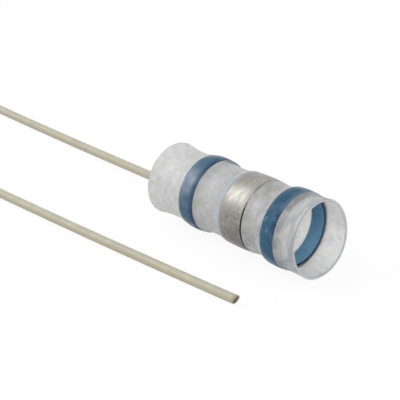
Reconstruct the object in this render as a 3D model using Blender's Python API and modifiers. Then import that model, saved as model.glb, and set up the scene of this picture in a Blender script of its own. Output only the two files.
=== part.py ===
"""Solder seal wire connector with its own ground lead.

A thin clear sleeve is shrunk over two meltable seal rings and a solder ring. A lead enters by the rear
mouth, and its stripped strands lie under the solder ring. The sleeve lies on its side along X, with its
open front mouth at +X. The floor is z = 0, and the origin is under the middle of the sleeve.
All radii named "bore" are inner ones.
"""

import math
from typing import NamedTuple

import bpy
from mathutils import Vector

MM = 0.001

# Bores. The rises are how much more radius each place has than the narrowest bore.
CABLE_BORE = 3.43 * MM          # the narrowest bore, which the cable slides through
REAR_MOUTH_RISE = 0.27 * MM
RING_RISE = 0.045 * MM          # at the rear seal ring and the solder ring
FRONT_GAP_RISE = 0.12 * MM      # between the solder ring and the front seal ring
FRONT_SEAL_RISE = 0.19 * MM
FRONT_NECK_RISE = 0.395 * MM
FRONT_MOUTH_RISE = 0.54 * MM

# Sleeve
SLEEVE_LENGTH = 21.0 * MM
SLEEVE_WALL = 0.25 * MM
REAR_FLARE = 2.1 * MM           # length over which the rear mouth opens
FRONT_FLARE = 1.9 * MM
REAR_DRAPE = 1.5 * MM           # fall of the sleeve beside the rear seal ring, on its mouth side
SEAL_DRAPE = 0.9 * MM           # the same on the inner side of both seal rings
FRONT_DRAPE = 0.6 * MM
SOLDER_DRAPE = 1.4 * MM
NECK_LIMIT = 0.97               # largest share of a free span that its two falls may take
DRAPE_POWER = 1.6               # roundness of the falls: 1 is a straight cone
MOUTH_SQUEEZE = 0.05            # share by which the soft front mouth is out of round
MOUTH_LONG_AXIS = math.radians(116.6)   # direction of its long axis, from +Y towards +Z

# Rings held by the sleeve. The crown is how much lower a ring's outer side stands at its two edges.
SEAT_CLEARANCE = 0.03 * MM
RING_EDGE = 0.07 * MM           # rounding of the rings' edges
SEAL_THICKNESS = 0.33 * MM
REAR_SEAL_INSET = 4.8 * MM      # from the rear mouth to the ring
REAR_SEAL_WIDTH = 2.1 * MM
REAR_SEAL_CROWN = 0.11 * MM
FRONT_SEAL_INSET = 2.65 * MM    # from the front mouth to the ring
FRONT_SEAL_WIDTH = 1.76 * MM
FRONT_SEAL_CROWN = 0.05 * MM
SOLDER_WIDTH = 3.02 * MM
SOLDER_THICKNESS = 0.25 * MM
SOLDER_CROWN = 0.05 * MM
SOLDER_SHARE = 0.54             # place of the solder ring's middle between those of the two seal rings

# Lead: an insulated wire, stripped at its inner end
LEAD_DIAMETER = 1.0 * MM
LEAD_CLOCK = math.radians(-50)  # where the lead lies in the bore, from +Y towards +Z
LEAD_REACH = 1.4 * MM           # insulation beyond the rear seal ring
LEAD_POINT_SPACING = 2.4 * MM
FLOOR_GAP = 0.02 * MM           # under the part of the lead that lies on the floor
STRAND_DIAMETER = 0.15 * MM
STRAND_PITCH = 0.155 * MM       # from strand to strand, which leaves a hair's gap
STRAND_LAYERS = ((0, 1), (1, 6), (2, 12))   # steps of the pitch from the middle, strands in the layer
STRAND_LAY = 9.0 * MM           # length of one turn of the strands about each other
STRAND_OVERRUN = 0.35 * MM      # strands beyond the solder ring
STRAND_STEPS = 9
STRIP_GAP = 0.03 * MM           # between the insulation's end and the strands

# Faceting
TURN_SEGMENTS = 48
FALL_STEPS = 3
CROWN_STEPS = 3
EDGE_STEPS = 2


class Ring(NamedTuple):
    middle: float       # place of its middle along the sleeve
    width: float
    bore: float
    thickness: float
    crown: float

    def outer_side(self):
        """Points (x, radius) from its rear edge to its front edge."""
        points = []
        for step in range(CROWN_STEPS + 1):
            side = 2 * step / CROWN_STEPS - 1
            points.append((self.middle + side * self.width / 2,
                           self.bore + self.thickness - self.crown * side**2))
        return points


# Places along the sleeve, worked out from the sizes above
REAR_MOUTH_X = -SLEEVE_LENGTH / 2
FRONT_MOUTH_X = SLEEVE_LENGTH / 2
REAR_SEAL_X = REAR_MOUTH_X + REAR_SEAL_INSET + REAR_SEAL_WIDTH / 2
FRONT_SEAL_X = FRONT_MOUTH_X - FRONT_SEAL_INSET - FRONT_SEAL_WIDTH / 2
SOLDER_X = REAR_SEAL_X + SOLDER_SHARE * (FRONT_SEAL_X - REAR_SEAL_X)
STRIP_X = REAR_SEAL_X + REAR_SEAL_WIDTH / 2 + LEAD_REACH
RING_BORE = CABLE_BORE + RING_RISE
FRONT_SEAL_BORE = CABLE_BORE + FRONT_SEAL_RISE
REAR_SEAL = Ring(REAR_SEAL_X, REAR_SEAL_WIDTH, RING_BORE, SEAL_THICKNESS, REAR_SEAL_CROWN)
SOLDER = Ring(SOLDER_X, SOLDER_WIDTH, RING_BORE, SOLDER_THICKNESS, SOLDER_CROWN)
FRONT_SEAL = Ring(FRONT_SEAL_X, FRONT_SEAL_WIDTH, FRONT_SEAL_BORE, SEAL_THICKNESS, FRONT_SEAL_CROWN)

# The lead's route outside the sleeve, in millimetres, as x, y and height of its underside over the floor
LEAD_ROUTE_MM = (
    (-14.0, 1.98, 1.47), (-17.0, 2.33, 1.22), (-20.0, 2.84, 0.87), (-23.0, 3.38, 0.50),
    (-26.0, 3.84, 0.19), (-29.5, 4.11, 0.01), (-33.0, 4.15, 0.0), (-38.0, 4.21, 0.0),
    (-43.0, 4.30, 0.0), (-48.0, 4.44, 0.0), (-53.5, 4.66, 0.0), (-58.8, 4.62, 0.0),
    (-62.9, 3.55, 0.0), (-66.1, 0.95, 0.0), (-67.4, -3.1, 0.0), (-66.4, -7.2, 0.0),
    (-63.4, -10.25, 0.0), (-59.3, -11.6, 0.0), (-53.0, -11.75, 0.0), (-46.0, -11.55, 0.0),
    (-39.0, -11.33, 0.0), (-32.0, -11.13, 0.0), (-27.0, -10.99, 0.0), (-22.5, -10.90, 0.0),
    (-18.0, -10.79, 0.0), (-13.0, -10.65, 0.0), (-8.0, -10.49, 0.0), (-3.0, -10.30, 0.0),
    (2.0, -10.09, 0.0), (5.5, -9.93, 0.0), (8.28, -9.78, 0.0),
)


def remove_old_objects():
    for old in list(bpy.data.objects):
        bpy.data.objects.remove(old, do_unlink=True)


def new_collection(name):
    collection = bpy.data.collections.new(name)
    bpy.context.scene.collection.children.link(collection)
    return collection


def plain_material(name, colour, roughness, metallic=0.0, alpha=1.0):
    material = bpy.data.materials.new(name)
    material.use_nodes = True
    surface = material.node_tree.nodes["Principled BSDF"]
    surface.inputs["Base Color"].default_value = (*colour, 1.0)
    surface.inputs["Roughness"].default_value = roughness
    surface.inputs["Metallic"].default_value = metallic
    surface.inputs["Alpha"].default_value = alpha
    return material


def smooth_step(t):
    return t * t * (3 - 2 * t)


def fallen(start, end, power):
    """Points (x, radius) after start, which fall from its radius to the end's and level off there."""
    points = []
    for step in range(1, FALL_STEPS + 1):
        t = step / FALL_STEPS
        left = (1 - t) ** power
        points.append((start[0] + t * (end[0] - start[0]), end[1] + left * (start[1] - end[1])))
    return points


def neck(start, end, bore, fall, rise):
    """Points (x, radius) from start to end, both left out, down to this bore and up again."""
    span = end[0] - start[0]
    share = min(1.0, NECK_LIMIT * span / (fall + rise))
    low_start = (start[0] + share * fall, bore)
    low_end = (end[0] - share * rise, bore)
    climb = fallen(end, low_end, DRAPE_POWER)
    return fallen(start, low_start, DRAPE_POWER) + climb[::-1]


def bore_line():
    """Points (x, radius) of the sleeve's inner wall, from the rear mouth to the front mouth."""
    rear, middle, front = ([(x, radius + SEAT_CLEARANCE) for x, radius in ring.outer_side()]
                           for ring in (REAR_SEAL, SOLDER, FRONT_SEAL))
    rear_mouth = (REAR_MOUTH_X, CABLE_BORE + REAR_MOUTH_RISE)
    front_mouth = (FRONT_MOUTH_X, CABLE_BORE + FRONT_MOUTH_RISE)
    front_gap = CABLE_BORE + FRONT_GAP_RISE
    front_neck = CABLE_BORE + FRONT_NECK_RISE
    return (
        [rear_mouth] + neck(rear_mouth, rear[0], CABLE_BORE, REAR_FLARE, REAR_DRAPE)
        + rear + neck(rear[-1], middle[0], CABLE_BORE, SEAL_DRAPE, SOLDER_DRAPE)
        + middle + neck(middle[-1], front[0], front_gap, SOLDER_DRAPE, SEAL_DRAPE)
        + front + neck(front[-1], front_mouth, front_neck, FRONT_DRAPE, FRONT_FLARE) + [front_mouth])


def ring_outline(ring):
    """Closed outline (x, radius) of a ring: its outer side from front to rear, then its bore back."""
    outer = ring.outer_side()
    edge_radius = outer[0][1] - RING_EDGE
    half = ring.width / 2 - RING_EDGE
    corners = (
        (half, edge_radius, 0), (-half, edge_radius, 90),
        (-half, ring.bore + RING_EDGE, 180), (half, ring.bore + RING_EDGE, 270),
    )
    outline = []
    for from_middle, radius, start in corners:
        for step in range(EDGE_STEPS + 1):
            angle = math.radians(start + 90 * step / EDGE_STEPS)
            outline.append((ring.middle + from_middle + RING_EDGE * math.cos(angle),
                            radius + RING_EDGE * math.sin(angle)))
        if start == 0:
            outline += outer[-2:0:-1]
    return outline


def turned(name, outline, material, collection):
    """Turn a closed outline (x, radius) about the sleeve's axis."""
    count = len(outline)
    profile = bpy.data.meshes.new(name)
    profile.from_pydata([(radius, 0, x) for x, radius in outline],
                        [(i, (i + 1) % count) for i in range(count)], [])
    obj = bpy.data.objects.new(name, profile)
    collection.objects.link(obj)
    screw = obj.modifiers.new("turn", "SCREW")
    screw.axis = "Z"
    screw.angle = math.tau
    screw.steps = TURN_SEGMENTS
    screw.render_steps = TURN_SEGMENTS
    screw.use_merge_vertices = True
    screw.merge_threshold = 1e-7
    obj.rotation_euler = (0, math.pi / 2, 0)
    bpy.context.view_layer.update()
    mesh = bpy.data.meshes.new_from_object(obj.evaluated_get(bpy.context.evaluated_depsgraph_get()))
    mesh.transform(obj.matrix_world)
    obj.modifiers.clear()
    obj.rotation_euler = (0, 0, 0)
    obj.data = mesh
    bpy.data.meshes.remove(profile)
    mesh.name = name
    mesh.materials.append(material)
    mesh.shade_smooth()
    mesh.set_sharp_from_angle(angle=math.radians(35))
    return obj


def squeeze_mouth(mesh):
    """Press the sleeve out of round, from nothing at the front seal ring to the full share at the mouth."""
    start = FRONT_SEAL.middle + FRONT_SEAL.width / 2
    for vertex in mesh.vertices:
        t = max(0.0, (vertex.co.x - start) / (FRONT_MOUTH_X - start))
        clock = math.atan2(vertex.co.z, vertex.co.y)
        factor = 1 + smooth_step(t) * MOUTH_SQUEEZE * math.cos(2 * (clock - MOUTH_LONG_AXIS))
        vertex.co.y *= factor
        vertex.co.z *= factor


def make_sleeve(collection):
    material = plain_material("clear_sleeve", (0.80, 0.81, 0.80), 0.35, alpha=0.35)
    inner = bore_line()
    outer = [(x, radius + SLEEVE_WALL) for x, radius in inner]
    sleeve = turned("heat_shrink_sleeve", outer[::-1] + inner, material, collection)
    squeeze_mouth(sleeve.data)
    return sleeve


def make_rings(collection):
    blue = plain_material("blue_seal", (0.05, 0.13, 0.27), 0.45)
    solder = plain_material("flux_coated_solder", (0.55, 0.52, 0.46), 0.38, metallic=0.9)
    return [
        turned("rear_seal_ring", ring_outline(REAR_SEAL), blue, collection),
        turned("front_seal_ring", ring_outline(FRONT_SEAL), blue, collection),
        turned("solder_ring", ring_outline(SOLDER), solder, collection),
    ]


def wire(name, points, diameter, bevel_resolution, material, collection):
    """Round wire with closed ends through points in world space."""
    curve = bpy.data.curves.new(name, "CURVE")
    curve.dimensions = "3D"
    curve.bevel_depth = diameter / 2
    curve.bevel_resolution = bevel_resolution
    curve.use_fill_caps = True
    spline = curve.splines.new("POLY")
    spline.points.add(len(points) - 1)
    for spline_point, point in zip(spline.points, points):
        spline_point.co = (*point, 1.0)
    curve.materials.append(material)
    obj = bpy.data.objects.new(name, curve)
    collection.objects.link(obj)
    return obj


def in_bore(x, distance, axis_height):
    """Point at this distance from the sleeve's axis, on the side where the lead lies."""
    return Vector((x, distance * math.cos(LEAD_CLOCK), axis_height + distance * math.sin(LEAD_CLOCK)))


def lead_seat():
    """Distance of the lead's centre from the sleeve's axis: it lies on the narrowest bore."""
    return CABLE_BORE - SEAT_CLEARANCE - LEAD_DIAMETER / 2


def strand_seat():
    """The same for the bare strands."""
    bundle = STRAND_LAYERS[-1][0] * STRAND_PITCH + STRAND_DIAMETER / 2
    return CABLE_BORE - SEAT_CLEARANCE - bundle


def make_strands(axis_height, collection):
    plated = plain_material("plated_copper", (0.62, 0.60, 0.57), 0.35, metallic=1.0)
    start = STRIP_X + STRIP_GAP
    end = SOLDER_X + SOLDER_WIDTH / 2 + STRAND_OVERRUN
    number = 0
    for layer, count in STRAND_LAYERS:
        for place in range(count):
            points = []
            for step in range(STRAND_STEPS + 1):
                t = step / STRAND_STEPS
                x = start + t * (end - start)
                rise = smooth_step(min(1.0, (x - start) / (SOLDER_X - start)))
                centre = in_bore(x, lead_seat() + rise * (strand_seat() - lead_seat()), axis_height)
                turn = math.tau * (place / count + (x - start) / STRAND_LAY)
                offset = Vector((0, math.cos(turn), math.sin(turn))) * layer * STRAND_PITCH
                points.append(centre + offset)
            number += 1
            wire(f"conductor_strand_{number:02d}", points, STRAND_DIAMETER, 1, plated, collection)


def smooth_route(points, spacing):
    """Even points along one smooth curve through the given points."""
    spans_per_point = 16
    dense = []
    for i in range(len(points) - 1):
        before = points[max(i - 1, 0)]
        start, end = points[i], points[i + 1]
        after = points[min(i + 2, len(points) - 1)]
        span = (end - start).length
        leave = (end - before) / (end - before).length * span
        arrive = (after - start) / (after - start).length * span
        for step in range(spans_per_point):
            t = step / spans_per_point
            dense.append(start * (2 * t**3 - 3 * t**2 + 1) + leave * (t**3 - 2 * t**2 + t)
                         + end * (3 * t**2 - 2 * t**3) + arrive * (t**3 - t**2))
    dense.append(points[-1])
    total = sum((b - a).length for a, b in zip(dense, dense[1:]))
    pieces = round(total / spacing)
    even = [dense[0]]
    walked = 0.0
    for a, b in zip(dense, dense[1:]):
        step = (b - a).length
        while len(even) < pieces and walked + step >= len(even) * total / pieces:
            even.append(a.lerp(b, (len(even) * total / pieces - walked) / step))
        walked += step
    even.append(dense[-1])
    return even


def make_lead(axis_height, collection):
    """The insulated lead: along the bore, out of the rear mouth, down to the floor and back in a loop."""
    cream = plain_material("cream_insulation", (0.55, 0.51, 0.42), 0.4)
    inside = [in_bore(STRIP_X + t * (REAR_MOUTH_X - STRIP_X), lead_seat(), axis_height)
              for t in (0, 1 / 3, 2 / 3, 1)]
    inside.append(in_bore(REAR_MOUTH_X - LEAD_DIAMETER, lead_seat(), axis_height))
    outside = [Vector((x * MM, y * MM, lift * MM + FLOOR_GAP + LEAD_DIAMETER / 2))
               for x, y, lift in LEAD_ROUTE_MM]
    route = smooth_route(inside + outside, LEAD_POINT_SPACING)
    return wire("lead_wire", route, LEAD_DIAMETER, 2, cream, collection)


def main():
    remove_old_objects()
    collection = new_collection("solder_seal_connector")
    sleeve = make_sleeve(collection)
    axis_height = -min(vertex.co.z for vertex in sleeve.data.vertices)
    for turned_piece in [sleeve] + make_rings(collection):
        turned_piece.location.z = axis_height
    make_strands(axis_height, collection)
    make_lead(axis_height, collection)


main()
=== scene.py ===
"""Looks of a solder seal wire connector with its own ground lead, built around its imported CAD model."""

import math

import bmesh
import bpy
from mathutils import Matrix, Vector


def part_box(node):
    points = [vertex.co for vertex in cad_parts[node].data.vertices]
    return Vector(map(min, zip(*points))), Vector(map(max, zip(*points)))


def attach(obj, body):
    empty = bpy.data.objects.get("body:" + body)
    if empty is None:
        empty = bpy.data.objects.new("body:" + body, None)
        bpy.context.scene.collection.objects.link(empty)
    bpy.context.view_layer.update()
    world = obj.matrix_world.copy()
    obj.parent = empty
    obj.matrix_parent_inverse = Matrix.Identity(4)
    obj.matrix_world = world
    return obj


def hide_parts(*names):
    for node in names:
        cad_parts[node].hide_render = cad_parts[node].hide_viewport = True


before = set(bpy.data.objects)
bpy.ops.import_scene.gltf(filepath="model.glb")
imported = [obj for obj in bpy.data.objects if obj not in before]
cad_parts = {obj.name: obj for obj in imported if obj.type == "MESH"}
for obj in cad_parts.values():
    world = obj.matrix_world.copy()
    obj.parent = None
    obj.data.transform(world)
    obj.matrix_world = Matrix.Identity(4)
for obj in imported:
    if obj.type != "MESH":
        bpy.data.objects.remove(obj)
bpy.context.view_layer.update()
MM = 0.001


# Viewpoint
# A long lens looks down at the open front mouth from the right, as in a catalogue picture of the sleeve.
VIEW_FROM = Vector((96.259, -102.278, 72.428)) * MM
VIEW_ALONG = Vector((-0.63929, 0.63613, -0.43202))
lens = bpy.data.cameras.new("viewpoint")
lens.sensor_width = 36.0
lens.lens = 135.0
lens.clip_start = 0.01
viewpoint = bpy.data.objects.new("viewpoint", lens)
viewpoint.location = VIEW_FROM
viewpoint.rotation_euler = VIEW_ALONG.to_track_quat("-Z", "Y").to_euler()
bpy.context.scene.collection.objects.link(viewpoint)
bpy.context.scene.camera = viewpoint


# Lead insulation
# A thin-wall wire of the usual 150 mm. Its cream insulation is extruded over the strands and snipped off, a
# little askew. It lies in the bore, leaves by the rear mouth, sinks to the floor and comes back in a loop.
SLEEVE_LOW, SLEEVE_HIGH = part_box("heat_shrink_sleeve")
AXIS_HEIGHT = (SLEEVE_LOW.z + SLEEVE_HIGH.z) / 2
REAR_MOUTH_X = SLEEVE_LOW.x
FRONT_MOUTH_X = SLEEVE_HIGH.x
LEAD_DIAMETER = 1.0 * MM
INSULATION_WALL = 0.105 * MM
SNIP_SLOPE = 0.36                   # how far the snipped end leans, for each unit of height
LEAD_CLOCK = math.radians(-50)      # where the lead lies in the bore, from +Y towards +Z
LEAD_SEAT = 2.90 * MM               # from the sleeve's axis to the lead's centre
STRIP_X = -2.2 * MM                 # where the insulation ends in the sleeve
FLOOR_GAP = 0.02 * MM
ROUTE_STEPS = 8                     # points of the finished route for each listed one
LEAD_ROUTE_MM = (                   # outside the sleeve: x, y and height of its underside over the floor
    (-14.0, 1.98, 1.47), (-17.0, 2.33, 1.22), (-20.0, 2.84, 0.87), (-23.0, 3.38, 0.50),
    (-26.0, 3.84, 0.19), (-29.5, 4.11, 0.01), (-33.0, 4.15, 0.0), (-38.0, 4.21, 0.0),
    (-43.0, 4.30, 0.0), (-48.0, 4.44, 0.0), (-53.5, 4.66, 0.0), (-58.8, 4.62, 0.0),
    (-62.9, 3.55, 0.0), (-66.1, 0.95, 0.0), (-67.4, -3.1, 0.0), (-66.4, -7.2, 0.0),
    (-63.4, -10.25, 0.0), (-59.3, -11.6, 0.0), (-53.0, -11.75, 0.0), (-46.0, -11.55, 0.0),
    (-39.0, -11.33, 0.0), (-32.0, -11.13, 0.0), (-27.0, -10.99, 0.0), (-22.5, -10.90, 0.0),
    (-18.0, -10.79, 0.0), (-13.0, -10.65, 0.0), (-8.0, -10.49, 0.0), (-3.0, -10.30, 0.0),
    (2.0, -10.09, 0.0), (5.5, -9.93, 0.0), (8.28, -9.78, 0.0),
)


def in_bore(x, distance):
    """Point at this distance from the sleeve's axis, on the side where the lead lies."""
    return Vector((x, distance * math.cos(LEAD_CLOCK), AXIS_HEIGHT + distance * math.sin(LEAD_CLOCK)))


def smooth_route(points):
    """Points along one smooth curve through the given points."""
    dense = []
    for i in range(len(points) - 1):
        before = points[max(i - 1, 0)]
        start, end = points[i], points[i + 1]
        after = points[min(i + 2, len(points) - 1)]
        span = (end - start).length
        leave = (end - before) / (end - before).length * span
        arrive = (after - start) / (after - start).length * span
        for step in range(ROUTE_STEPS):
            t = step / ROUTE_STEPS
            dense.append(start * (2 * t**3 - 3 * t**2 + 1) + leave * (t**3 - 2 * t**2 + t)
                         + end * (3 * t**2 - 2 * t**3) + arrive * (t**3 - t**2))
    dense.append(points[-1])
    return dense


def add_node(tree, kind, inputs=None, **settings):
    """Add a node to a tree. inputs holds a value or a node's socket for each input, by name or place."""
    node = tree.nodes.new(kind)
    for name, value in settings.items():
        setattr(node, name, value)
    for key, value in (inputs or {}).items():
        if isinstance(value, bpy.types.NodeSocket):
            tree.links.new(value, node.inputs[key])
        else:
            node.inputs[key].default_value = value
    return node


def figure(tree, operation, *values):
    """Result of a sum between sockets or numbers."""
    return add_node(tree, "ShaderNodeMath", dict(enumerate(values)), operation=operation).outputs[0]


def product(tree, *values):
    """All the given sockets and numbers multiplied together."""
    result = values[0]
    for value in values[1:]:
        result = figure(tree, "MULTIPLY", result, value)
    return result


def vector_figure(tree, operation, first, second=(0, 0, 0), result="Vector"):
    """Result of a sum between vectors."""
    inputs = {0: first, 1: second}
    return add_node(tree, "ShaderNodeVectorMath", inputs, operation=operation).outputs[result]


def eased(tree, value, start, end, low=0.0, high=1.0):
    """Value taken smoothly from low, at start, to high, at end."""
    inputs = {"Value": value, "From Min": start, "From Max": end, "To Min": low, "To Max": high}
    return add_node(tree, "ShaderNodeMapRange", inputs, interpolation_type="SMOOTHSTEP").outputs["Result"]


def window(tree, value, start, end, fade):
    """One from start to end, and down to nothing over the fade outside them."""
    return product(tree, eased(tree, value, start - fade, start), eased(tree, value, end + fade, end))


def part_of(tree, vector, axis):
    return add_node(tree, "ShaderNodeSeparateXYZ", {0: vector}).outputs[axis]


def laid_over(tree, factor, under, over, kind="MIX"):
    """Colour over laid on colour under by a factor. Each is a socket, or its red, green and blue."""
    under, over = (tone if isinstance(tone, bpy.types.NodeSocket) else (*tone, 1) for tone in (under, over))
    # The mix node's inputs 6 and 7 are its two colours
    return add_node(tree, "ShaderNodeMix", {"Factor": factor, 6: under, 7: over},
                    data_type="RGBA", blend_type=kind).outputs[2]


def noise(tree, place, scale, detail=3.0, stretch=(1, 1, 1)):
    """Noise over the place, pulled longer along each axis whose stretch is under 1."""
    pulled = vector_figure(tree, "MULTIPLY", place, stretch)
    return add_node(tree, "ShaderNodeTexNoise",
                    {"Vector": pulled, "Scale": scale, "Detail": detail}).outputs["Fac"]


def give_relief(tree, surface, height, strength, depth):
    bump = add_node(tree, "ShaderNodeBump", {"Height": height, "Strength": strength, "Distance": depth})
    tree.links.new(bump.outputs["Normal"], surface["Normal"])


def new_group(name, kind, takes, gives):
    """Node group of this kind, with its named inputs and outputs."""
    tree = bpy.data.node_groups.new(name, kind)
    for side, sockets in (("INPUT", takes), ("OUTPUT", gives)):
        for socket_name, socket_kind in sockets:
            tree.interface.new_socket(socket_name, in_out=side, socket_type="NodeSocket" + socket_kind)
    return tree, tree.nodes.new("NodeGroupInput").outputs, tree.nodes.new("NodeGroupOutput").inputs


def shaped(name, tree, sizes, start_mesh=None, finish=None):
    """Object whose plain mesh is what a geometry tree makes of start_mesh with these sizes."""
    maker = bpy.data.objects.new(name + "_maker", start_mesh or bpy.data.meshes.new(name + "_start"))
    bpy.context.scene.collection.objects.link(maker)
    modifier = maker.modifiers.new("shape", "NODES")
    modifier.node_group = tree
    for socket in tree.interface.items_tree:
        if socket.in_out == "INPUT" and socket.name in sizes:
            modifier[socket.identifier] = sizes[socket.name]
    if finish:
        finish(maker)
    bpy.context.view_layer.update()
    mesh = bpy.data.meshes.new_from_object(maker.evaluated_get(bpy.context.evaluated_depsgraph_get()))
    bpy.data.objects.remove(maker)
    mesh.name = name
    piece = bpy.data.objects.new(name, mesh)
    bpy.context.scene.collection.objects.link(piece)
    return piece


def route_mesh(name, points):
    """Mesh of edges through the points, for a tree to follow."""
    mesh = bpy.data.meshes.new(name)
    mesh.from_pydata([tuple(point) for point in points], [(i, i + 1) for i in range(len(points) - 1)], [])
    return mesh


# Every finish here is a little uneven: this group gives soft patches between a dark and a light tone
mottle, given, result = new_group(
    "mottle", "ShaderNodeTree",
    (("Vector", "Vector"), ("Scale", "Float"), ("Spread", "Float"), ("Dark", "Color"), ("Light", "Color")),
    (("Colour", "Color"), ("Patches", "Float")))
fine = add_node(mottle, "ShaderNodeTexNoise", {
    "Vector": given["Vector"], "Scale": given["Scale"], "Detail": 4.0, "Roughness": 0.6}).outputs["Fac"]
patches = eased(mottle, fine, figure(mottle, "SUBTRACT", 0.5, given["Spread"]),
                figure(mottle, "ADD", 0.5, given["Spread"]))
mottle.links.new(laid_over(mottle, patches, given["Dark"], given["Light"]), result["Colour"])
mottle.links.new(patches, result["Patches"])


def new_finish(name):
    """Material with its tree, its shader's inputs, and object coordinates to lay patterns on."""
    material = bpy.data.materials.new(name)
    material.use_nodes = True
    tree = material.node_tree
    place = add_node(tree, "ShaderNodeTexCoord").outputs["Object"]
    return material, tree, tree.nodes["Principled BSDF"].inputs, place


def facing(tree):
    """Direction in which the surface faces."""
    return add_node(tree, "ShaderNodeNewGeometry").outputs["Normal"]


def add_mottle(tree, place, scale, spread, dark, light):
    inputs = {"Vector": place, "Scale": scale, "Spread": spread, "Dark": (*dark, 1), "Light": (*light, 1)}
    return add_node(tree, "ShaderNodeGroup", inputs, node_tree=mottle).outputs


bore_points = [in_bore(STRIP_X + t * (REAR_MOUTH_X - STRIP_X), LEAD_SEAT) for t in (0, 1 / 3, 2 / 3, 1)]
bore_points.append(in_bore(REAR_MOUTH_X - LEAD_DIAMETER, LEAD_SEAT))
free_points = [Vector((x * MM, y * MM, lift * MM + FLOOR_GAP + LEAD_DIAMETER / 2))
               for x, y, lift in LEAD_ROUTE_MM]
lead_route = smooth_route(bore_points + free_points)

cream, tree, surface, place = new_finish("cream_insulation")
clouds = add_mottle(tree, place, 900.0, 0.25, (0.388, 0.368, 0.283), (0.466, 0.445, 0.35))
facing_back, facing_up = part_of(tree, facing(tree), "Y"), part_of(tree, facing(tree), "Z")
# Painted shade where the lead turns away from the top, darkest underneath, and painted light on its upper
# back
look = laid_over(tree, eased(tree, facing_up, 0.66, 0.2), clouds["Colour"], (0.385, 0.345, 0.25))
look = laid_over(tree, eased(tree, facing_up, -0.35, -0.85), look, (0.27, 0.235, 0.15))
upper_back = product(tree, eased(tree, facing_back, -0.2, 0.5), eased(tree, facing_up, 0.2, 0.66))
look = laid_over(tree, upper_back, look, (0.58, 0.56, 0.47))
streaks = noise(tree, place, 1700.0, stretch=(0.16, 0.7, 1))
look = laid_over(tree, eased(tree, streaks, 0.52, 0.7, 0.0, 0.4), look, (0.42, 0.375, 0.37))
tree.links.new(look, surface["Base Color"])
grain = noise(tree, place, 3600.0, 2.0)
give_relief(tree, surface, grain, 0.17, 0.02 * MM)
tree.links.new(eased(tree, grain, 0.3, 0.7, 0.42, 0.6), surface["Roughness"])

tree, given, result = new_group(
    "insulation_over_route", "GeometryNodeTree",
    (("Geometry", "Geometry"), ("Diameter", "Float"), ("Sides", "Int")), (("Geometry", "Geometry"),))
path = add_node(tree, "GeometryNodeMeshToCurve", {"Mesh": given["Geometry"]}).outputs["Curve"]
ring = add_node(tree, "GeometryNodeCurvePrimitiveCircle",
                {"Resolution": given["Sides"], "Radius": figure(tree, "MULTIPLY", given["Diameter"], 0.5)})
tube = add_node(tree, "GeometryNodeCurveToMesh", {"Curve": path, "Profile Curve": ring.outputs["Curve"]})
real = add_node(tree, "GeometryNodeRealizeInstances", {"Geometry": tube.outputs["Mesh"]})
smooth = add_node(tree, "GeometryNodeSetShadeSmooth", {"Geometry": real.outputs["Geometry"]})
dressed = add_node(tree, "GeometryNodeSetMaterial",
                   {"Geometry": smooth.outputs["Geometry"], "Material": cream})
tree.links.new(dressed.outputs["Geometry"], result["Geometry"])


def give_insulation_wall(maker):
    wall = maker.modifiers.new("wall", "SOLIDIFY")
    wall.thickness = INSULATION_WALL
    wall.offset = -1
    wall.use_even_offset = True


def snip(piece, end, outward):
    """Lean the cut face at the end of a piece, so that its upper side stands out further."""
    for vertex in piece.data.vertices:
        if (vertex.co - end).dot(outward) > -LEAD_DIAMETER / 4:
            vertex.co += outward * SNIP_SLOPE * (vertex.co.z - end.z)


insulation = shaped("lead_insulation", tree, {"Diameter": LEAD_DIAMETER, "Sides": 24},
                    route_mesh("lead_route", lead_route), give_insulation_wall)
cut_end = lead_route[-1]
outward = (cut_end - lead_route[-3]).normalized()
snip(insulation, cut_end, outward)


# Conductor
# Nineteen thin plated copper strands, with six and then twelve of them laid about one straight strand. They
# show where the lead is snipped, as bare copper, and where it is stripped under the solder ring.
STRAND_DIAMETER = 0.15 * MM
STRAND_PITCH = 0.155 * MM           # between the middles of the layers
STRAND_LAY = 9.0 * MM               # length of one turn of the strands about each other
STRAND_LAYERS = (1, 6, 12)
STRAND_SEAT = 3.015 * MM            # from the sleeve's axis to the bundle's centre, on the bore
STRANDS_END_X = 3.485 * MM
STRIPPED_STEPS = 24                 # steps of the stripped strands' route
SOLDER_LOW, SOLDER_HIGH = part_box("solder_ring")
SOLDER_X = (SOLDER_LOW.x + SOLDER_HIGH.x) / 2
CUT_PROUD = 0.04 * MM               # how far the cut strands stand out of the insulation
CUT_SEEN = 2.0 * MM                 # length of strand modelled behind the cut

plated, tree, surface, place = new_finish("plated_copper")
surface["Metallic"].default_value = 1.0
worn = add_mottle(tree, place, 2200.0, 0.12, (0.46, 0.43, 0.40), (0.70, 0.68, 0.65))
tree.links.new(worn["Colour"], surface["Base Color"])
tree.links.new(eased(tree, worn["Patches"], 0.0, 1.0, 0.5, 0.28), surface["Roughness"])

bare, tree, surface, place = new_finish("cut_copper")
surface["Metallic"].default_value = 0.6
torn = add_mottle(tree, place, 5200.0, 0.15, (0.09, 0.055, 0.038), (0.40, 0.25, 0.175))
tree.links.new(torn["Colour"], surface["Base Color"])
tree.links.new(eased(tree, torn["Patches"], 0.0, 1.0, 0.6, 0.4), surface["Roughness"])

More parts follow.
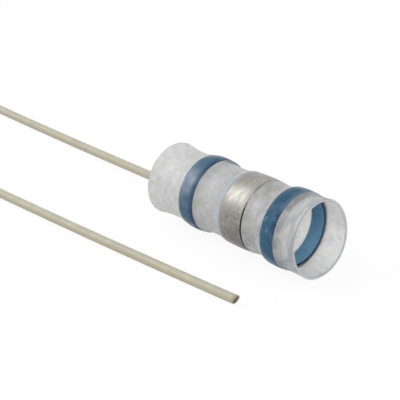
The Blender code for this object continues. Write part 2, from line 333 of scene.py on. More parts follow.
tree, given, result = new_group(
    "strands_over_route", "GeometryNodeTree",
    (("Geometry", "Geometry"), ("Strand Diameter", "Float"), ("Pitch", "Float"), ("Lay", "Float"),
     ("Route Points", "Int"), ("Metal", "Material")), (("Geometry", "Geometry"),))
path = add_node(tree, "GeometryNodeMeshToCurve", {"Mesh": given["Geometry"]})
even = add_node(tree, "GeometryNodeResampleCurve",
                {"Curve": path.outputs["Curve"], "Count": given["Route Points"]})
layers = add_node(tree, "GeometryNodeJoinGeometry")
for layer, count in enumerate(STRAND_LAYERS):
    copies = add_node(tree, "GeometryNodeDuplicateElements",
                      {"Geometry": even.outputs["Curve"], "Amount": count}, domain="SPLINE")
    along = add_node(tree, "GeometryNodeSplineParameter").outputs["Length"]
    place_in_layer = figure(tree, "DIVIDE", copies.outputs["Duplicate Index"], count)
    turns = figure(tree, "ADD", place_in_layer, figure(tree, "DIVIDE", along, given["Lay"]))
    angle = figure(tree, "MULTIPLY", turns, math.tau)
    reach = figure(tree, "MULTIPLY", given["Pitch"], layer)
    normal = add_node(tree, "GeometryNodeInputNormal").outputs["Normal"]
    tangent = add_node(tree, "GeometryNodeInputTangent").outputs["Tangent"]
    turned_normal = add_node(tree, "ShaderNodeVectorRotate",
                             {"Vector": normal, "Axis": tangent, "Angle": angle}).outputs["Vector"]
    offset = add_node(tree, "ShaderNodeVectorMath", {0: turned_normal, "Scale": reach}, operation="SCALE")
    moved = add_node(tree, "GeometryNodeSetPosition",
                     {"Geometry": copies.outputs["Geometry"], "Offset": offset.outputs["Vector"]})
    tree.links.new(moved.outputs["Geometry"], layers.inputs["Geometry"])
ring = add_node(tree, "GeometryNodeCurvePrimitiveCircle",
                {"Resolution": 10, "Radius": figure(tree, "MULTIPLY", given["Strand Diameter"], 0.5)})
wires = add_node(tree, "GeometryNodeCurveToMesh", {
    "Curve": layers.outputs["Geometry"], "Profile Curve": ring.outputs["Curve"], "Fill Caps": True})
real = add_node(tree, "GeometryNodeRealizeInstances", {"Geometry": wires.outputs["Mesh"]})
dressed = add_node(tree, "GeometryNodeSetMaterial",
                   {"Geometry": real.outputs["Geometry"], "Material": given["Metal"]})
tree.links.new(dressed.outputs["Geometry"], result["Geometry"])


def smooth_step(t):
    return t * t * (3 - 2 * t)


stripped_route = [in_bore(STRIP_X - CUT_SEEN, LEAD_SEAT)]
for step in range(STRIPPED_STEPS + 1):
    x = STRIP_X + step / STRIPPED_STEPS * (STRANDS_END_X - STRIP_X)
    rise = smooth_step(min(1.0, (x - STRIP_X) / (SOLDER_X - STRIP_X)))
    stripped_route.append(in_bore(x, LEAD_SEAT + rise * (STRAND_SEAT - LEAD_SEAT)))
strand_sizes = {"Strand Diameter": STRAND_DIAMETER, "Pitch": STRAND_PITCH, "Lay": STRAND_LAY}
stripped = shaped("stripped_strands", tree, strand_sizes | {"Route Points": 60, "Metal": plated},
                  route_mesh("stripped_route", stripped_route))
cut_route = (cut_end - outward * CUT_SEEN, cut_end + outward * CUT_PROUD)
cut = shaped("cut_strands", tree, strand_sizes | {"Route Points": 8, "Metal": bare},
             route_mesh("cut_route", cut_route))
snip(cut, cut_end, outward)

# The strands are round, and their ends are flat
for piece in (stripped, cut):
    for face in piece.data.polygons:
        face.use_smooth = len(face.vertices) == 4

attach(insulation, "root")
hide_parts("lead_wire")
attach(stripped, "root")
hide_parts(*(f"conductor_strand_{number:02d}" for number in range(1, sum(STRAND_LAYERS) + 1)))
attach(cut, "root")


# Seal rings
# Two cut lengths of blue thermoplastic tube, put into the sleeve before it is shrunk a little over them.
# They melt first and seal the cable. Their backs are satin. Their bores are painted paler, as light
# through the thin walls, and their cut ends are painted navy, as shade.
SEAL_BORES = {"rear_seal_ring": 3.475 * MM, "front_seal_ring": 3.62 * MM}
SEAL_CROWNS = {"rear_seal_ring": 0.11 * MM, "front_seal_ring": 0.05 * MM}   # fall of the back to its edges
RING_EDGE = 0.07 * MM
CROWN_STEPS = 12
EDGE_STEPS = 4
SEAL_TONES = (0.028, 0.086, 0.150), (0.046, 0.120, 0.196)


def turned_ring(name, outline, material, sides=160):
    """Turn a closed outline (x, radius) about the sleeve's axis."""
    mesh = bpy.data.meshes.new(name)
    ring = bmesh.new()
    rows = []
    for side in range(sides):
        angle = math.tau * side / sides
        rows.append([ring.verts.new((x, radius * math.cos(angle), AXIS_HEIGHT + radius * math.sin(angle)))
                     for x, radius in outline])
    for side in range(sides):
        row, next_row = rows[side], rows[(side + 1) % sides]
        for i in range(len(outline)):
            j = (i + 1) % len(outline)
            ring.faces.new((row[i], next_row[i], next_row[j], row[j]))
    bmesh.ops.recalc_face_normals(ring, faces=ring.faces)
    ring.to_mesh(mesh)
    ring.free()
    mesh.materials.append(material)
    mesh.shade_smooth()
    piece = bpy.data.objects.new(name, mesh)
    bpy.context.scene.collection.objects.link(piece)
    return piece


def ring_outline(node, bore, crown):
    """Outline of a ring that fills its CAD node's box, with a crowned back and rounded edges."""
    low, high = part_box(node)
    outer = (high.z - low.z) / 2
    middle, half = (low.x + high.x) / 2, (high.x - low.x) / 2
    crowned = []
    for step in range(CROWN_STEPS + 1):
        side = 1 - 2 * step / CROWN_STEPS
        crowned.append((middle + side * (half - RING_EDGE), outer - crown * side**2))
    rear, front = middle - half + RING_EDGE, middle + half - RING_EDGE
    back, inner = outer - crown - RING_EDGE, bore + RING_EDGE
    edges = []
    for x, radius, start in ((rear, back, 90), (rear, inner, 180), (front, inner, 270), (front, back, 360)):
        for step in range(EDGE_STEPS + 1):
            angle = math.radians(start + 90 * step / EDGE_STEPS)
            edges.append((x + RING_EDGE * math.cos(angle), radius + RING_EDGE * math.sin(angle)))
    # The first and last points of the edges are the two ends of the crowned back
    return crowned + edges[1:-1]


def about_axis(tree, place):
    """Place measured from the sleeve's axis, and how far its surface faces out: under nothing in a bore."""
    from_axis = vector_figure(tree, "SUBTRACT", place, (0, 0, AXIS_HEIGHT))
    return from_axis, vector_figure(tree, "DOT_PRODUCT", from_axis, facing(tree), result="Value")


def end_face(tree, start):
    """One on a piece's end faces, down to nothing where the surface leans as far as start."""
    along_axis = figure(tree, "ABSOLUTE", part_of(tree, facing(tree), "X"))
    return eased(tree, along_axis, start, 0.8)


def grey(level):
    return (level, level, level)


blue, tree, surface, place = new_finish("blue_seal")
clouds = add_mottle(tree, place, 900.0, 0.16, *SEAL_TONES)
from_axis, outward = about_axis(tree, place)
# Painted light: the bore is paler, as if lit through the thin walls, and paler still low down
in_its_bore = eased(tree, outward, -1.0 * MM, -3.0 * MM)
paler = laid_over(tree, in_its_bore, clouds["Colour"], (0.11, 0.28, 0.44))
low = eased(tree, part_of(tree, from_axis, "Z"), 0.5 * MM, -3.0 * MM, 0.0, 0.7)
lit = laid_over(tree, product(tree, low, in_its_bore), paler, (0.20, 0.42, 0.61))
specks = add_mottle(tree, place, 2600.0, 0.12, (0.74, 0.76, 0.80), grey(1.0))
lit = laid_over(tree, product(tree, in_its_bore, 0.8), lit, specks["Colour"], "MULTIPLY")

# Painted shade: the cut ends are navy, and the front ring's are greyer where they meet the wall
across = vector_figure(tree, "MULTIPLY", from_axis, (0, 1, 1))
radius = vector_figure(tree, "LENGTH", across, result="Value")
near_wall = eased(tree, radius, 3.87 * MM, 3.90 * MM)
cut_tone = laid_over(tree, near_wall, (0.003, 0.018, 0.070), (0.20, 0.24, 0.28))
tree.links.new(laid_over(tree, end_face(tree, 0.5), lit, cut_tone), surface["Base Color"])
tree.links.new(eased(tree, clouds["Patches"], 0.0, 1.0, 0.5, 0.36), surface["Roughness"])
give_relief(tree, surface, noise(tree, place, 1500.0), 0.25, 0.02 * MM)

for node, bore in SEAL_BORES.items():
    seal = turned_ring("blue_" + node, ring_outline(node, bore, SEAL_CROWNS[node]), blue)
    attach(seal, "root")
    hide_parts(node)


# Solder ring
# A band of soft solder, bent round and coated with a little flux, that melts onto the cable's shield. It is
# warm grey and speckled, with painted shade low down and along its cut edges.
SOLDER_BORE = 3.475 * MM
SOLDER_CROWN = 0.05 * MM

# The metal's look, which the wall over it shows too: clouds and dots, streaks round the ring, pits and
# specks, and painted shade below
metal, given, result = new_group("fluxed_metal", "ShaderNodeTree", (("Vector", "Vector"),),
                                 (("Colour", "Color"), ("Roughness", "Float"), ("Dots", "Float")))
clouds = add_mottle(metal, given["Vector"], 800.0, 0.2, (0.36, 0.35, 0.318), (0.44, 0.425, 0.393))
dots = add_mottle(metal, given["Vector"], 3400.0, 0.16, (0.58, 0.56, 0.545), grey(1.0))
height = part_of(metal, given["Vector"], "Z")
low = eased(metal, height, AXIS_HEIGHT + 3.0 * MM, AXIS_HEIGHT + 0.5 * MM, 0.25, 0.8)
dotted = laid_over(metal, low, clouds["Colour"], dots["Colour"], "MULTIPLY")
streaks = noise(metal, given["Vector"], 2100.0, 2.0, (1, 0.22, 0.22))
streaked = laid_over(metal, eased(metal, streaks, 0.42, 0.68, 0.28, 0.0), dotted, (0.21, 0.20, 0.185))
pits = eased(metal, noise(metal, given["Vector"], 5200.0, 1.0), 0.64, 0.74, 0.0, 0.5)
pitted = laid_over(metal, product(metal, low, pits), streaked, (0.06, 0.055, 0.05))
specks = product(
    metal, eased(metal, noise(metal, given["Vector"], 4300.0, 2.0), 0.54, 0.66, 0.0, 0.6),
    eased(metal, part_of(metal, given["Vector"], "X"), SOLDER_X, SOLDER_HIGH.x - 0.3 * MM, 0.15, 1.0),
    eased(metal, height, AXIS_HEIGHT + 3.5 * MM, AXIS_HEIGHT + 2.6 * MM, 0.25, 1.0))
speckled = laid_over(metal, specks, pitted, (0.12, 0.11, 0.10))
# Painted shade: the metal is darker low down
painted_shade_below = eased(metal, height, AXIS_HEIGHT + 0.6 * MM, AXIS_HEIGHT - 2.2 * MM, 0.0, 0.55)
metal.links.new(laid_over(metal, painted_shade_below, speckled, (0.085, 0.078, 0.072)), result["Colour"])
metal.links.new(eased(metal, streaks, 0.3, 0.7, 0.5, 0.38), result["Roughness"])
metal.links.new(dots["Patches"], result["Dots"])

solder, tree, surface, place = new_finish("flux_coated_solder")
surface["Metallic"].default_value = 0.85
look = add_node(tree, "ShaderNodeGroup", {"Vector": place}, node_tree=metal).outputs
# The cut ends are painted dark, as shade
ended = laid_over(tree, end_face(tree, 0.4), look["Colour"], (0.03, 0.027, 0.025))
tree.links.new(ended, surface["Base Color"])
tree.links.new(look["Roughness"], surface["Roughness"])
give_relief(tree, surface, look["Dots"], 0.3, 0.02 * MM)
band = turned_ring("solder_band", ring_outline("solder_ring", SOLDER_BORE, SOLDER_CROWN), solder)
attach(band, "root")
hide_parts("solder_ring")


# Sleeve
# Clear heat-shrink tube, cut to length and shrunk just enough to hold the rings, so it drapes over each and
# keeps its wider mouths. Its wall is milky where it stands free. Where it lies on a ring it acts as a lens
# that brings the ring's look up to its own surface, so those faces carry the ring's tones.
WALL = 0.25 * MM
RIM_EDGE = 0.07 * MM
SEAT_CLEARANCE = 0.03 * MM
FALL_POWER = 1.6                    # roundness of the wall's falls beside the rings: 1 is a straight cone
CORNER_POWER = 6.0                  # how narrow the front mouth's soft corner is
SEAM_GAP = 0.001 * MM               # points of the rolled sheet closer than this are one
TOUCH_FADE = 0.02 * MM              # over which the wall loses a ring's look at the ring's ends
RIM_FACING = 0.6                    # faces that point along the tube by more than this are its cut rims
RING_DRAPES = (     # node, crown of its back, falls to rear and front, ring's look beyond its front end
    ("rear_seal_ring", SEAL_CROWNS["rear_seal_ring"], 1.5 * MM, 0.9 * MM, -0.08 * MM),
    ("solder_ring", SOLDER_CROWN, 1.4 * MM, 1.4 * MM, 0.15 * MM),
    ("front_seal_ring", SEAL_CROWNS["front_seal_ring"], 0.9 * MM, 0.6 * MM, -0.05 * MM),
)
REAR_SEAL_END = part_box("rear_seal_ring")[1].x
FRONT_SEAL_LOW, FRONT_SEAL_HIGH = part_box("front_seal_ring")
FRONT_SEAL_X = (FRONT_SEAL_LOW.x + FRONT_SEAL_HIGH.x) / 2
FRONT_SEAL_END = FRONT_SEAL_HIGH.x
SOLID_OVER_RING = 0.92              # how solid the wall is where it lies on a ring
UPPER_BACK = (0, 0.562, 0.827)      # way from the axis to the tube's upper outline, as the camera sees it
REAR_SHADE = 0.815                  # how white the wall is over the open rear end
WALL_SHADES = (     # towards the front: where each next shade starts and is reached, and how white it is
    (-4.4 * MM, -3.4 * MM, 0.74),
    (2.6 * MM, 3.6 * MM, 0.655),
    (8.2 * MM, 9.2 * MM, 0.73),
)

frosted, tree, surface, place = new_finish("frosted_tubing")
surface["Transmission Weight"].default_value = 0.35
surface["Subsurface Weight"].default_value = 1.0
surface["Subsurface Radius"].default_value = (1.0, 1.0, 1.0)
surface["Subsurface Scale"].default_value = 1.0 * MM
surface["IOR"].default_value = 1.3
along = part_of(tree, place, "X")
from_axis, outward = about_axis(tree, place)
outside = eased(tree, outward, -0.5 * MM, 0.5 * MM)
tones = add_mottle(tree, place, 1300.0, 0.14, (0.715, 0.735, 0.665), (0.845, 0.825, 0.875))
grain = add_mottle(tree, place, 4400.0, 0.12, grey(0.90), grey(1.0))
grainy = eased(tree, along, -7.5 * MM, -4.5 * MM, 0.35, 0.8)
look = laid_over(tree, grainy, tones["Colour"], grain["Colour"], "MULTIPLY")

# Painted shade: from outside, the wall is whiter over the open rear end than over the rings and the lead in
# it, which shade it. Painted light: from within, it is whiter low down.
shade = grey(REAR_SHADE)
for start, end, level in WALL_SHADES:
    shade = laid_over(tree, eased(tree, along, start, end), shade, grey(level))
whiter_below = eased(tree, part_of(tree, from_axis, "Z"), 2.5 * MM, -3.0 * MM)
within = laid_over(tree, whiter_below, grey(0.82), grey(1.11))
look = laid_over(tree, 1.0, look, laid_over(tree, outside, within, shade), "MULTIPLY")

# A cold band in the dip before the solder
dip = window(tree, along, SOLDER_LOW.x - 1.0 * MM, SOLDER_LOW.x - 0.35 * MM, 0.5 * MM)
cold = product(tree, outside, dip, eased(tree, noise(tree, place, 500.0), 0.4, 0.6, 0.3, 0.75))
look = laid_over(tree, cold, look, (0.43, 0.48, 0.55))

# Creases, with painted shade along them, and smudges, most of them towards the front
crease = add_node(tree, "ShaderNodeTexNoise", {
    "Vector": place, "Scale": 620.0, "Detail": 3.0, "Roughness": 0.55, "Distortion": 1.2}).outputs["Fac"]
creases = product(
    tree, eased(tree, figure(tree, "ABSOLUTE", figure(tree, "SUBTRACT", crease, 0.5)), 0.085, 0.0),
    eased(tree, noise(tree, place, 260.0, 1.0), 0.38, 0.56),
    eased(tree, along, 0.0, 6.0 * MM, 0.2, 1.0), eased(tree, outside, 0.0, 1.0, 0.7, 1.0))
look = laid_over(tree, product(tree, creases, 0.8), look, (0.29, 0.29, 0.32))
smudges = eased(tree, noise(tree, place, 1000.0, 2.0), 0.60, 0.74, 0.0, 0.6)
look = laid_over(tree, smudges, look, (0.36, 0.37, 0.39))

# Pale strokes beyond the solder, and drawn lines and bruises round the neck past the front seal ring
strokes = product(tree, eased(tree, noise(tree, place, 1700.0, 2.0, (0.7, 0.3, 0.3)), 0.52, 0.66, 0.0, 0.9),
                  eased(tree, along, 2.8 * MM, 3.4 * MM), eased(tree, along, 9.0 * MM, 7.5 * MM), outside)
look = laid_over(tree, strokes, look, (0.64, 0.635, 0.67))
drawn = eased(tree, noise(tree, place, 1900.0, 2.0, (1, 0.2, 0.2)), 0.48, 0.66, 0.0, 0.75)
past_seal = eased(tree, along, FRONT_SEAL_END, FRONT_SEAL_END + 0.3 * MM)
look = laid_over(tree, product(tree, drawn, past_seal, outside), look, (0.34, 0.34, 0.38))
bruises = product(tree, outside, window(tree, along, FRONT_SEAL_END, FRONT_SEAL_END + 0.6 * MM, 0.5 * MM),
                  eased(tree, noise(tree, place, 700.0, 2.0), 0.44, 0.58, 0.0, 0.65))
look = laid_over(tree, bruises, look, (0.27, 0.265, 0.275))

# A cool tint low down behind the front rim, where the ring's blue is drawn into the flare
cool = product(
    tree, outside, window(tree, along, 8.3 * MM, 9.7 * MM, 0.7 * MM),
    window(tree, part_of(tree, from_axis, "Z"), -3.4 * MM, -1.2 * MM, 0.8 * MM),
    eased(tree, noise(tree, place, 1300.0, 2.0), 0.4, 0.6, 0.0, 0.4))
look = laid_over(tree, cool, look, (0.20, 0.28, 0.32))

# Blue in front of the front seal ring's foot
foot = product(tree, outside, window(tree, along, FRONT_SEAL_END, FRONT_SEAL_END + 0.25 * MM, 0.3 * MM),
               eased(tree, part_of(tree, from_axis, "Z"), -2.0 * MM, -3.2 * MM, 0.0, 0.7))
look = laid_over(tree, foot, look, (0.07, 0.12, 0.20))

# Blue from each seal ring along the upper back, painted shade along the wall's underside, and a grey line
# at each rim
upper_back = vector_figure(tree, "DOT_PRODUCT", from_axis, UPPER_BACK, result="Value")
drawn_blue = product(tree, outside, window(tree, along, REAR_SEAL_END, REAR_SEAL_END + 0.5 * MM, 0.6 * MM),
                     eased(tree, upper_back, 3.52 * MM, 3.80 * MM, 0.0, 0.85))
look = laid_over(tree, drawn_blue, look, (0.10, 0.16, 0.24))
front_haze = product(
    tree, outside, window(tree, along, FRONT_SEAL_END, FRONT_SEAL_END + 2.6 * MM, 0.8 * MM),
    eased(tree, upper_back, 3.5 * MM, 3.95 * MM, 0.0, 0.55))
look = laid_over(tree, front_haze, look, (0.16, 0.20, 0.28))
underside = eased(tree, part_of(tree, facing(tree), "Z"), -0.70, -0.81, 0.0, 0.5)
look = laid_over(tree, product(tree, underside, outside), look, grey(0.33))
from_middle = figure(tree, "ABSOLUTE", along)
rim_line = eased(tree, from_middle, FRONT_MOUTH_X - 0.22 * MM, FRONT_MOUTH_X - 0.1 * MM, 0.0, 0.9)
tree.links.new(laid_over(tree, rim_line, look, (0.30, 0.33, 0.35)), surface["Base Color"])
tree.links.new(eased(tree, outside, 0.0, 1.0, 0.5, 1.0), surface["Alpha"])
tree.links.new(eased(tree, tones["Patches"], 0.0, 1.0, 0.5, 0.38), surface["Roughness"])
ripples = figure(tree, "SUBTRACT", noise(tree, place, 1100.0, 4.0), product(tree, creases, 0.6))
give_relief(tree, surface, ripples, 0.35, 0.05 * MM)

on_seal, tree, surface, place = new_finish("tubing_on_seal")
surface["Specular IOR Level"].default_value = 0.1
surface["Coat Roughness"].default_value = 0.4
surface["Alpha"].default_value = SOLID_OVER_RING
along, height = part_of(tree, place, "X"), part_of(tree, place, "Z")
clouds = add_mottle(tree, place, 900.0, 0.16, *SEAL_TONES)
on_rear_seal = eased(tree, along, 1.0 * MM, -1.0 * MM)
look = laid_over(tree, product(tree, on_rear_seal, 0.09), clouds["Colour"], (0.25, 0.26, 0.34))
# A painted highlight: a soft pale patch high on the rear seal ring
rear_seal_highlight = product(
    tree, eased(tree, along, REAR_SEAL_END - 0.35 * MM, REAR_SEAL_END - 1.0 * MM, 0.0, 0.5),
    window(tree, height, AXIS_HEIGHT + 2.0 * MM, AXIS_HEIGHT + 2.5 * MM, 1.3 * MM),
    eased(tree, noise(tree, place, 1600.0, 3.0, (1, 0.5, 0.5)), 0.3, 0.65, 0.35, 1.0))
look = laid_over(tree, rear_seal_highlight, look, (0.34, 0.37, 0.46))
# Painted glints: pale lilac streaks high on the front seal ring
front_seal_glints = product(
    tree, eased(tree, along, -1.0 * MM, 1.0 * MM, 0.0, 0.65),
    window(tree, height, AXIS_HEIGHT + 1.2 * MM, AXIS_HEIGHT + 3.0 * MM, 0.6 * MM),
    eased(tree, noise(tree, place, 1700.0, 2.0, (1, 0.45, 0.45)), 0.55, 0.66))
look = laid_over(tree, front_seal_glints, look, (0.20, 0.215, 0.42))
# Painted shade along each seal ring's front edge, fading low down on the front ring
front_seal_edge = product(
    tree, window(tree, along, FRONT_SEAL_END - 0.45 * MM, FRONT_SEAL_END, 0.25 * MM),
    eased(tree, height, AXIS_HEIGHT - 1.0 * MM, AXIS_HEIGHT + 1.5 * MM, 0.35, 1.0))
rear_seal_edge = window(tree, along, REAR_SEAL_END - 0.4 * MM, REAR_SEAL_END, 0.25 * MM)
front_edges = figure(tree, "ADD", rear_seal_edge, front_seal_edge)
look = laid_over(tree, product(tree, front_edges, 0.6), look, (0.010, 0.032, 0.085))
top_haze = product(
    tree, eased(tree, along, FRONT_SEAL_END - 0.65 * MM, FRONT_SEAL_END - 0.35 * MM, 0.0, 0.6),
    eased(tree, height, AXIS_HEIGHT + 2.7 * MM, AXIS_HEIGHT + 3.5 * MM))
tree.links.new(laid_over(tree, top_haze, look, (0.12, 0.20, 0.30)), surface["Base Color"])
scuffs = product(tree, eased(tree, noise(tree, place, 1500.0, 2.0, (1, 0.4, 0.4)), 0.54, 0.66), 0.7)
shine = product(tree, eased(tree, noise(tree, place, 900.0), 0.35, 0.6, 0.55, 1.0), on_rear_seal)
upper = window(tree, height, AXIS_HEIGHT + 0.4 * MM, AXIS_HEIGHT + 3.2 * MM, 1.0 * MM)
tree.links.new(product(tree, figure(tree, "MAXIMUM", shine, scuffs), upper), surface["Coat Weight"])
tree.links.new(eased(tree, clouds["Patches"], 0.0, 1.0, 0.46, 0.34), surface["Roughness"])
give_relief(tree, surface, noise(tree, place, 1300.0), 0.25, 0.03 * MM)

on_solder, tree, surface, place = new_finish("tubing_on_solder")
along, height = part_of(tree, place, "X"), part_of(tree, place, "Z")
look = add_node(tree, "ShaderNodeGroup", {"Vector": place}, node_tree=metal).outputs
past_shoulder = eased(tree, along, SOLDER_LOW.x + 0.1 * MM, SOLDER_LOW.x + 0.5 * MM)
bare_metal = eased(tree, past_shoulder, 0.0, 1.0, 0.1, 0.8)
tree.links.new(bare_metal, surface["Metallic"])
tree.links.new(bare_metal, surface["Specular IOR Level"])
tree.links.new(eased(tree, past_shoulder, 0.0, 1.0, 1.0, SOLID_OVER_RING), surface["Alpha"])
# Painted shade: a dark line along the solder's front end, which lies in shadow under the wall, weaker high
# up
end_line = product(
    tree, window(tree, along, SOLDER_HIGH.x - 0.02 * MM, SOLDER_HIGH.x + 0.10 * MM, 0.08 * MM),
    eased(tree, height, AXIS_HEIGHT + 3.9 * MM, AXIS_HEIGHT + 1.5 * MM, 0.3, 1.0))
ended = laid_over(tree, end_line, look["Colour"], (0.012, 0.011, 0.010))
shoulder = eased(tree, along, SOLDER_LOW.x + 0.45 * MM, SOLDER_LOW.x + 0.05 * MM, 0.0, 0.6)
tree.links.new(laid_over(tree, shoulder, ended, (0.33, 0.33, 0.37)), surface["Base Color"])
tree.links.new(look["Roughness"], surface["Roughness"])
give_relief(tree, surface, look["Dots"], 0.2, 0.02 * MM)

cut_rim, tree, surface, place = new_finish("cut_rim")
surface["Alpha"].default_value = 0.9
fibres = add_mottle(tree, place, 2600.0, 0.2, (0.50, 0.505, 0.50), (0.64, 0.63, 0.66))
# The rims' rounded edges are painted darker where they lean, as shade
leaning = eased(tree, figure(tree, "ABSOLUTE", part_of(tree, facing(tree), "X")), 0.98, 0.88, 0.0, 0.8)
tree.links.new(laid_over(tree, leaning, fibres["Colour"], (0.28, 0.31, 0.33)), surface["Base Color"])
tree.links.new(eased(tree, fibres["Patches"], 0.0, 1.0, 0.6, 0.45), surface["Roughness"])


def chosen(tree, test, first, second):
    """The first number where the test gives nothing, and the second where it gives one."""
    # The mix node's inputs 2 and 3 are its two numbers
    return add_node(tree, "ShaderNodeMix", {"Factor": test, 2: first, 3: second}).outputs[0]


def rounded(tree, share):
    """What is left after this share of a fall, with the fall's roundness."""
    left = figure(tree, "MAXIMUM", figure(tree, "SUBTRACT", 1.0, share), 0.0)
    return figure(tree, "POWER", left, FALL_POWER)


# How far out the wall stands where it drapes over one ring, and whether it touches the ring
over_ring, given, result = new_group(
    "wall_over_ring", "GeometryNodeTree",
    [(name, "Float") for name in ("X", "Free Radius", "Middle", "Half Width", "Seat", "Crown", "Rear Fall",
                                  "Front Fall", "Cleared")], (("Radius", "Float"), ("Touch", "Float")))
from_middle = figure(over_ring, "SUBTRACT", given["X"], given["Middle"])
away = figure(over_ring, "ABSOLUTE", from_middle)
side = figure(over_ring, "MINIMUM", figure(over_ring, "DIVIDE", away, given["Half Width"]), 1.0)
seat = figure(over_ring, "SUBTRACT", given["Seat"], product(over_ring, given["Crown"], side, side))
past_edge = figure(over_ring, "MAXIMUM", figure(over_ring, "SUBTRACT", away, given["Half Width"]), 0.0)
in_front = figure(over_ring, "GREATER_THAN", from_middle, 0.0)
fall = chosen(over_ring, in_front, given["Rear Fall"], given["Front Fall"])
lift = product(over_ring, figure(over_ring, "SUBTRACT", seat, given["Free Radius"]),
               rounded(over_ring, figure(over_ring, "DIVIDE", past_edge, fall)))
over_ring.links.new(figure(over_ring, "ADD", given["Free Radius"], lift), result["Radius"])
ahead = figure(over_ring, "SUBTRACT", figure(over_ring, "SUBTRACT", from_middle, given["Half Width"]),
               given["Cleared"])
behind = figure(over_ring, "SUBTRACT", product(over_ring, from_middle, -1.0), given["Half Width"])
touch = product(over_ring, eased(over_ring, ahead, TOUCH_FADE, 0.0),
                eased(over_ring, behind, TOUCH_FADE, 0.0))
over_ring.links.new(touch, result["Touch"])

# A flat sheet is rolled into the tube, at the widest of the bore, the flares and the drape over each ring
tree, given, result = new_group("sleeve_over_rings", "GeometryNodeTree", (
    ("Geometry", "Geometry"), ("Rear Mouth", "Float"), ("Front Mouth", "Float"), ("Axis Height", "Float"),
    ("Bore", "Float"), ("Gap Rise", "Float"), ("Neck Rise", "Float"), ("Rear Mouth Rise", "Float"),
    ("Front Mouth Rise", "Float"), ("Rear Flare", "Float"), ("Front Flare", "Float"), ("Squeeze", "Float"),
    ("Long Axis", "Float"), ("Corner", "Float"), ("Corner Direction", "Float"), ("Unevenness", "Float"),
    ("Steps Along", "Int"), ("Steps Round", "Int"), ("Skin", "Material"), ("Seal Skin", "Material"),
    ("Solder Skin", "Material")), (("Geometry", "Geometry"),))
length = figure(tree, "SUBTRACT", given["Front Mouth"], given["Rear Mouth"])
sheet = add_node(tree, "GeometryNodeMeshGrid", {
    "Size X": length, "Size Y": math.tau,
    "Vertices X": given["Steps Along"], "Vertices Y": given["Steps Round"]})
on_sheet = add_node(tree, "GeometryNodeInputPosition").outputs[0]
turn = part_of(tree, on_sheet, "Y")
middle = product(tree, figure(tree, "ADD", given["Rear Mouth"], given["Front Mouth"]), 0.5)
x = figure(tree, "ADD", part_of(tree, on_sheet, "X"), middle)
past_solder = figure(tree, "GREATER_THAN", x, SOLDER_X)
past_seal = figure(tree, "GREATER_THAN", x, FRONT_SEAL_X)
gap_rise = product(tree, past_solder, given["Gap Rise"])
rise = chosen(tree, past_seal, gap_rise, given["Neck Rise"])
free_radius = figure(tree, "ADD", given["Bore"], rise)
from_rear = figure(tree, "DIVIDE", figure(tree, "SUBTRACT", x, given["Rear Mouth"]), given["Rear Flare"])
from_front = figure(tree, "DIVIDE", figure(tree, "SUBTRACT", given["Front Mouth"], x), given["Front Flare"])
rear_flare = product(tree, given["Rear Mouth Rise"], rounded(tree, from_rear))
front_flare = product(tree, figure(tree, "SUBTRACT", given["Front Mouth Rise"], given["Neck Rise"]),
                      rounded(tree, from_front))
radius = figure(tree, "ADD", free_radius, figure(tree, "ADD", rear_flare, front_flare))
touching = touching_seal = 0.0
for node, crown, rear_fall, front_fall, cleared in RING_DRAPES:
    low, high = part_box(node)
    draped = add_node(tree, "GeometryNodeGroup", {
        "X": x, "Free Radius": free_radius, "Middle": (low.x + high.x) / 2,
        "Half Width": (high.x - low.x) / 2, "Seat": (high.z - low.z) / 2 + SEAT_CLEARANCE, "Crown": crown,
        "Rear Fall": rear_fall, "Front Fall": front_fall, "Cleared": cleared}, node_tree=over_ring).outputs
    radius = figure(tree, "MAXIMUM", radius, draped["Radius"])
    touching = figure(tree, "MAXIMUM", touching, draped["Touch"])
    if "seal" in node:
        touching_seal = figure(tree, "MAXIMUM", touching_seal, draped["Touch"])

# Where it stands free, the wall is a little uneven
even_wall = add_node(tree, "ShaderNodeCombineXYZ", {
    0: x, 1: product(tree, radius, figure(tree, "COSINE", turn)),
    2: product(tree, radius, figure(tree, "SINE", turn))}).outputs[0]
dents = add_node(tree, "ShaderNodeTexNoise",
                 {"Vector": even_wall, "Scale": 420.0, "Detail": 2.0}).outputs["Fac"]
swell = product(tree, given["Unevenness"], figure(tree, "SUBTRACT", 1.0, touching), dents)

# Past the front seal ring the wall goes out of round, with one soft corner low on the near side
opening = eased(tree, x, FRONT_SEAL_END, given["Front Mouth"])
twice_round = product(tree, figure(tree, "SUBTRACT", turn, given["Long Axis"]), 2.0)
squeeze = product(tree, given["Squeeze"], opening, figure(tree, "COSINE", twice_round))
to_corner = figure(tree, "COSINE", figure(tree, "SUBTRACT", turn, given["Corner Direction"]))
corner = product(tree, given["Corner"], opening,
                 figure(tree, "POWER", figure(tree, "MAXIMUM", to_corner, 0.0), CORNER_POWER))
reach = figure(tree, "ADD", corner, product(
    tree, figure(tree, "ADD", radius, swell), figure(tree, "ADD", squeeze, 1.0)))
height = figure(tree, "ADD", given["Axis Height"], product(tree, reach, figure(tree, "SINE", turn)))
wall_point = add_node(tree, "ShaderNodeCombineXYZ", {
    0: x, 1: product(tree, reach, figure(tree, "COSINE", turn)), 2: figure(tree, "MAXIMUM", height, WALL)})
marked = sheet.outputs["Mesh"]
for name, value in (("on_ring", touching), ("on_seal", touching_seal)):
    marked = add_node(tree, "GeometryNodeStoreNamedAttribute",
                      {"Geometry": marked, "Name": name, "Value": value},
                      data_type="FLOAT", domain="POINT").outputs["Geometry"]
rolled = add_node(tree, "GeometryNodeSetPosition", {"Geometry": marked, "Position": wall_point.outputs[0]})
closed = add_node(tree, "GeometryNodeMergeByDistance",
                  {"Geometry": rolled.outputs["Geometry"], "Distance": SEAM_GAP})
turned_out = add_node(tree, "GeometryNodeFlipFaces", {"Mesh": closed.outputs["Geometry"]})
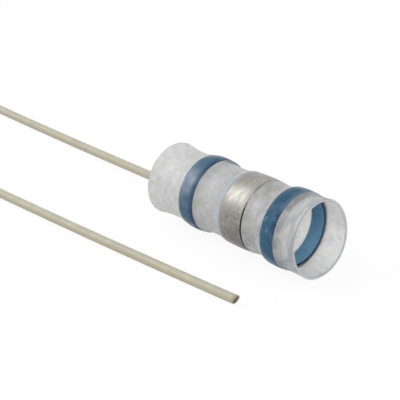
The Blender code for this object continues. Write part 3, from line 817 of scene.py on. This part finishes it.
smooth = add_node(tree, "GeometryNodeSetShadeSmooth", {"Geometry": turned_out.outputs["Mesh"]})
real = add_node(tree, "GeometryNodeRealizeInstances", {"Geometry": smooth.outputs["Geometry"]})
dressed = add_node(tree, "GeometryNodeSetMaterial", {"Geometry": real.outputs["Geometry"],
                                                     "Material": given["Skin"]})
for name, skin in (("on_ring", "Solder Skin"), ("on_seal", "Seal Skin")):
    mark = add_node(tree, "GeometryNodeInputNamedAttribute", {"Name": name}, data_type="FLOAT")
    dressed = add_node(tree, "GeometryNodeSetMaterial", {
        "Geometry": dressed.outputs["Geometry"], "Material": given[skin],
        "Selection": figure(tree, "GREATER_THAN", mark.outputs["Attribute"], 0.5)})
tree.links.new(dressed.outputs["Geometry"], result["Geometry"])


def give_sleeve_wall(maker):
    wall = maker.modifiers.new("wall", "SOLIDIFY")
    wall.thickness = WALL
    wall.offset = 1
    rims = maker.modifiers.new("rims", "BEVEL")
    rims.width = RIM_EDGE
    rims.segments = 3
    rims.limit_method = "ANGLE"
    rims.angle_limit = math.radians(60)


tube = shaped("frosted_sleeve", tree, {
    "Rear Mouth": REAR_MOUTH_X, "Front Mouth": FRONT_MOUTH_X, "Axis Height": AXIS_HEIGHT,
    "Bore": 3.43 * MM, "Gap Rise": 0.12 * MM, "Neck Rise": 0.395 * MM, "Rear Mouth Rise": 0.27 * MM,
    "Front Mouth Rise": 0.54 * MM, "Rear Flare": 2.1 * MM, "Front Flare": 1.9 * MM, "Squeeze": 0.05,
    "Long Axis": math.radians(116.6), "Corner": 0.17 * MM, "Corner Direction": math.radians(-38),
    "Unevenness": 0.05 * MM, "Steps Along": 211, "Steps Round": 161, "Skin": frosted,
    "Seal Skin": on_seal, "Solder Skin": on_solder}, finish=give_sleeve_wall)
tube.data.materials.append(cut_rim)
for face in tube.data.polygons:
    if abs(face.normal.x) > RIM_FACING:
        face.material_index = len(tube.data.materials) - 1
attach(tube, "root")
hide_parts("heat_shrink_sleeve")


# Studio
# A pale floor that keeps the shadow, a white surround for the camera and behind clear walls, and two lamps.
def lamp(name, direction, distance, size, energy):
    data = bpy.data.lights.new(name, "AREA")
    data.shape = "SQUARE"
    data.size = size
    data.energy = energy
    light = bpy.data.objects.new(name, data)
    aim = Vector(direction).normalized()
    light.location = aim * distance
    light.rotation_euler = aim.to_track_quat("Z", "Y").to_euler()
    bpy.context.scene.collection.objects.link(light)


def seen_itself(tree):
    """One for what the camera sees, straight, in a reflection or through a clear wall."""
    rays = add_node(tree, "ShaderNodeLightPath").outputs
    indirect = figure(tree, "MAXIMUM", rays["Is Glossy Ray"], rays["Is Transmission Ray"])
    return figure(tree, "MAXIMUM", rays["Is Camera Ray"], indirect)


lamp("key_softbox", (-0.64, -0.41, 0.65), distance=0.5, size=0.31, energy=0.97)
lamp("fill_softbox", (0.75, -0.75, 0.55), distance=0.7, size=0.5, energy=0.7)

FLOOR_HALF = 1.0
FLOOR_GLOW = 0.92                   # share of the floor's look that is plain white, with no shadow
SURROUND_LIGHT = 0.78               # how strongly the surround lights the object, with 1 as plain white
floor_mesh = bpy.data.meshes.new("floor")
floor_mesh.from_pydata([(-FLOOR_HALF, -FLOOR_HALF, 0), (FLOOR_HALF, -FLOOR_HALF, 0),
                        (FLOOR_HALF, FLOOR_HALF, 0), (-FLOOR_HALF, FLOOR_HALF, 0)], [], [(0, 1, 2, 3)])
floor = bpy.data.objects.new("floor", floor_mesh)
bpy.context.scene.collection.objects.link(floor)
white = bpy.data.materials.new("white_floor")
white.use_nodes = True
tree = white.node_tree
surface = tree.nodes["Principled BSDF"]
surface.inputs["Base Color"].default_value = (0.94, 0.94, 0.94, 1)
surface.inputs["Roughness"].default_value = 0.9
glow = add_node(tree, "ShaderNodeEmission", {"Color": (1, 1, 1, 1), "Strength": 1.0})
whitened = product(tree, seen_itself(tree), FLOOR_GLOW)
blend = add_node(tree, "ShaderNodeMixShader", {0: whitened, 1: surface.outputs[0], 2: glow.outputs[0]})
tree.links.new(blend.outputs[0], tree.nodes["Material Output"].inputs["Surface"])
floor_mesh.materials.append(white)

world = bpy.data.worlds.new("surround")
bpy.context.scene.world = world
world.use_nodes = True
tree = world.node_tree
strength = add_node(tree, "ShaderNodeMapRange",
                    {"Value": seen_itself(tree), "To Min": SURROUND_LIGHT, "To Max": 1.0})
tree.nodes["Background"].inputs["Color"].default_value = (1, 1, 1, 1)
tree.links.new(strength.outputs["Result"], tree.nodes["Background"].inputs["Strength"])
bpy.context.scene.view_settings.view_transform = "Standard"

bpy.context.view_layer.update()
